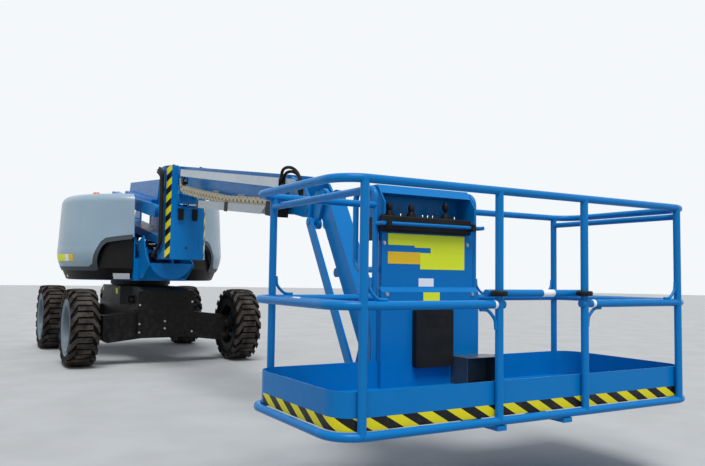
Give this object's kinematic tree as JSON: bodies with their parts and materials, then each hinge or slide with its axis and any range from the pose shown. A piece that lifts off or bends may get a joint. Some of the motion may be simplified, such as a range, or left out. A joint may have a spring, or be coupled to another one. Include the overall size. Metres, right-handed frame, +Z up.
{
  "type": "articulating boom lift",
  "caption": "Articulating boom lift on four wheels: slewing turntable, double riser, telescopic boom, hanging jib and a railed platform with its control console.",
  "frame": {"origin": "middle of the machine's outside box at ground level, in the stowed pose", "axes": "+X forward from the chassis to the platform, +Y to the machine's left, +Z up"},
  "size_m": [9.979, 2.5719, 2.6],
  "materials": {
    "blue_paint": "gloss",
    "black_paint": "satin",
    "cover_grey": "satin",
    "white_paint": "satin",
    "wheel_grey": "satin",
    "tyre_black": "matte",
    "rod_chrome": "polished",
    "amber_lens": "gloss",
    "chain_beige": "matte",
    "black_plastic": "matte",
    "black_rubber": "matte",
    "bright_steel": "brushed"
  },
  "bodies": {
    "chassis": {"chassis_frame": "black_paint", "front_axle": "black_paint", "rear_axle": "black_paint", "slew_ring": "black_paint", "steer_cylinder": "black_paint"},
    "tie_rod": {"tie_rod": "black_paint"},
    "knuckle_left": {"knuckle_left": "black_paint"},
    "knuckle_right": {"knuckle_right": "black_paint"},
    "wheel_front_left": {"rim_front_left": "wheel_grey", "tyre_front_left": "tyre_black"},
    "wheel_front_right": {"rim_front_right": "wheel_grey", "tyre_front_right": "tyre_black"},
    "wheel_rear_left": {"rim_rear_left": "wheel_grey", "tyre_rear_left": "tyre_black"},
    "wheel_rear_right": {"rim_rear_right": "wheel_grey", "tyre_rear_right": "tyre_black"},
    "turntable": {"turntable_frame": "blue_paint", "tub_left": "black_paint", "tub_right": "black_paint", "counterweight": "black_paint", "engine_block": "black_paint"},
    "cover_left": {"cover_left": "cover_grey"},
    "cover_right": {"cover_right": "cover_grey", "beacon": "amber_lens"},
    "lower_riser": {"lower_riser": "blue_paint"},
    "lower_link": {"lower_link": "black_paint"},
    "mid_frame": {"mid_frame": "blue_paint"},
    "upper_riser": {"upper_riser": "blue_paint"},
    "upper_link": {"upper_link": "black_paint"},
    "mast": {"mast": "blue_paint", "mast_bumpers": "black_rubber", "mast_hoses": "black_rubber"},
    "riser_cylinder": {"riser_cylinder": "black_paint"},
    "riser_rod": {"riser_rod": "rod_chrome"},
    "boom": {"boom_outer": "blue_paint", "hose_tray": "cover_grey", "hose_chain": "chain_beige"},
    "lift_cylinder": {"lift_cylinder": "black_paint"},
    "lift_rod": {"lift_rod": "rod_chrome"},
    "extension": {"boom_extension": "blue_paint", "hose_carrier": "white_paint", "tip_hoses": "black_rubber"},
    "jib_base": {"jib_base": "blue_paint"},
    "jib_arm": {"jib_arm": "blue_paint"},
    "jib_link": {"jib_link": "blue_paint"},
    "jib_cylinder": {"jib_cylinder": "black_paint"},
    "jib_rod": {"jib_rod": "rod_chrome"},
    "platform_support": {"platform_support": "black_paint"},
    "platform": {"platform_mount": "black_paint", "platform_rails": "blue_paint", "platform_floor": "blue_paint", "console": "blue_paint", "control_tray": "black_plastic", "literature_box": "black_plastic", "footswitch_box": "bright_steel"},
    "entry_bar": {"entry_bar": "blue_paint"}
  },
  "joints": [
    {"name": "steer_left", "type": "hinge", "parent": "chassis", "child": "knuckle_left", "pos_m": [-1.9755, 0.86, 0.495], "axis": [0, 0, 1], "range_deg": [-38, 38]},
    {"name": "wheel_front_left_spin", "type": "hinge", "parent": "knuckle_left", "child": "wheel_front_left", "pos_m": [-1.9755, 1.07, 0.495], "axis": [0, 1, 0], "continuous": true},
    {"name": "wheel_rear_left_spin", "type": "hinge", "parent": "chassis", "child": "wheel_rear_left", "pos_m": [-4.4855, 1.07, 0.495], "axis": [0, 1, 0], "continuous": true},
    {"name": "steer_right", "type": "hinge", "parent": "chassis", "child": "knuckle_right", "pos_m": [-1.9755, -0.86, 0.495], "axis": [0, 0, 1], "range_deg": [-38, 38]},
    {"name": "wheel_front_right_spin", "type": "hinge", "parent": "knuckle_right", "child": "wheel_front_right", "pos_m": [-1.9755, -1.07, 0.495], "axis": [0, 1, 0], "continuous": true},
    {"name": "wheel_rear_right_spin", "type": "hinge", "parent": "chassis", "child": "wheel_rear_right", "pos_m": [-4.4855, -1.07, 0.495], "axis": [0, 1, 0], "continuous": true},
    {"name": "tie_rod_slide", "type": "slide", "parent": "chassis", "child": "tie_rod", "axis": [0, 1, 0], "range_m": [-0.1354, 0.1354]},
    {"name": "slew", "type": "hinge", "parent": "chassis", "child": "turntable", "pos_m": [-3.2305, 0, 1.095], "axis": [0, 0, 1], "continuous": true},
    {"name": "cover_left_open", "type": "hinge", "parent": "turntable", "child": "cover_left", "pos_m": [-3.2305, 0.394, 2.261], "axis": [1, 0, 0], "range_deg": [0, 60]},
    {"name": "cover_right_open", "type": "hinge", "parent": "turntable", "child": "cover_right", "pos_m": [-3.2305, -0.394, 2.261], "axis": [-1, 0, 0], "range_deg": [0, 60]},
    {"name": "riser_lift", "type": "hinge", "parent": "turntable", "child": "lower_riser", "pos_m": [-2.3305, 0, 1.5], "axis": [0, 1, 0], "range_deg": [0, 60]},
    {"name": "lower_link_turn", "type": "hinge", "parent": "turntable", "child": "lower_link", "pos_m": [-2.5105, 0, 1.3], "axis": [0, 1, 0], "range_deg": [-1, 61]},
    {"name": "mid_frame_level", "type": "hinge", "parent": "lower_riser", "child": "mid_frame", "pos_m": [-4.1805, 0, 1.9], "axis": [0, 1, 0], "range_deg": [-61, 1]},
    {"name": "upper_riser_turn", "type": "hinge", "parent": "mid_frame", "child": "upper_riser", "pos_m": [-4.1305, 0, 2.43], "axis": [0, 1, 0], "range_deg": [-61, 1]},
    {"name": "upper_link_turn", "type": "hinge", "parent": "mid_frame", "child": "upper_link", "pos_m": [-4.1305, 0, 2.03], "axis": [0, 1, 0], "range_deg": [-61, 1]},
    {"name": "mast_level", "type": "hinge", "parent": "upper_riser", "child": "mast", "pos_m": [-1.5805, 0, 2.01], "axis": [0, 1, 0], "range_deg": [-1, 61]},
    {"name": "riser_cylinder_turn", "type": "hinge", "parent": "turntable", "child": "riser_cylinder", "pos_m": [-3.1205, 0, 1.262], "axis": [0, 1, 0], "range_deg": [-4.79, 1]},
    {"name": "riser_rod_slide", "type": "slide", "parent": "riser_cylinder", "child": "riser_rod", "axis": [0.7775, 0, 0.6289], "range_m": [-0.003, 0.3687]},
    {"name": "boom_lift", "type": "hinge", "parent": "mast", "child": "boom", "pos_m": [-1.2505, 0, 2.4], "axis": [0, -1, 0], "range_deg": [-5, 72]},
    {"name": "lift_cylinder_turn", "type": "hinge", "parent": "mast", "child": "lift_cylinder", "pos_m": [-1.2305, 0, 1.48], "axis": [0, -1, 0], "range_deg": [-9.03, 1.56]},
    {"name": "lift_rod_slide", "type": "slide", "parent": "lift_cylinder", "child": "lift_rod", "axis": [0.2139, 0, 0.9769], "range_m": [-0.0281, 0.365]},
    {"name": "boom_extend", "type": "slide", "parent": "boom", "child": "extension", "axis": [0.989, 0, -0.1478], "range_m": [0, 2.6]},
    {"name": "tip_level", "type": "hinge", "parent": "extension", "child": "jib_base", "pos_m": [2.58199, 0, 1.72612], "axis": [0, -1, 0], "range_deg": [-73, 6]},
    {"name": "jib_lift", "type": "hinge", "parent": "jib_base", "child": "jib_arm", "pos_m": [2.7395, 0, 1.8], "axis": [0, -1, 0], "range_deg": [-5, 130]},
    {"name": "jib_link_turn", "type": "hinge", "parent": "jib_base", "child": "jib_link", "pos_m": [2.6695, 0, 1.62], "axis": [0, -1, 0], "range_deg": [-6, 131]},
    {"name": "platform_level", "type": "hinge", "parent": "jib_arm", "child": "platform_support", "pos_m": [3.43757, 0, 0.69149], "axis": [0, -1, 0], "range_deg": [-131, 6]},
    {"name": "jib_cylinder_turn", "type": "hinge", "parent": "jib_arm", "child": "jib_cylinder", "pos_m": [2.94922, 0, 1.22301], "axis": [0, -1, 0], "range_deg": [-1.08, 3.19]},
    {"name": "jib_rod_slide", "type": "slide", "parent": "jib_cylinder", "child": "jib_rod", "axis": [-0.5312, 0, 0.8473], "range_m": [-0.0182, 0.3979]},
    {"name": "platform_turn", "type": "hinge", "parent": "platform_support", "child": "platform", "pos_m": [3.6145, 0, 0.66], "axis": [0, 0, 1], "range_deg": [-80, 80]},
    {"name": "entry_bar_slide", "type": "slide", "parent": "platform", "child": "entry_bar", "axis": [0, 0, 1], "range_m": [0, 0.35]}
  ],
  "couplings": [
    {"joint": "steer_right", "follows": "steer_left", "ratio": 1},
    {"joint": "tie_rod_slide", "follows": "steer_left", "m_per_rad": -0.1996},
    {"joint": "lower_link_turn", "follows": "riser_lift", "ratio": 1},
    {"joint": "mid_frame_level", "follows": "riser_lift", "ratio": -1},
    {"joint": "upper_riser_turn", "follows": "riser_lift", "ratio": -1},
    {"joint": "upper_link_turn", "follows": "riser_lift", "ratio": -1},
    {"joint": "mast_level", "follows": "riser_lift", "ratio": 1},
    {"joint": "riser_cylinder_turn", "follows": "riser_lift", "ratio": -0.063115},
    {"joint": "riser_rod_slide", "follows": "riser_lift", "m_per_rad": 0.34919},
    {"joint": "lift_cylinder_turn", "follows": "boom_lift", "ratio": -0.11146},
    {"joint": "lift_rod_slide", "follows": "boom_lift", "m_per_rad": 0.28806},
    {"joint": "tip_level", "follows": "boom_lift", "ratio": -1},
    {"joint": "jib_link_turn", "follows": "jib_lift", "ratio": 1},
    {"joint": "platform_level", "follows": "jib_lift", "ratio": -1},
    {"joint": "jib_cylinder_turn", "follows": "jib_lift", "ratio": 0.016867},
    {"joint": "jib_rod_slide", "follows": "jib_lift", "m_per_rad": 0.17405}
  ]
}
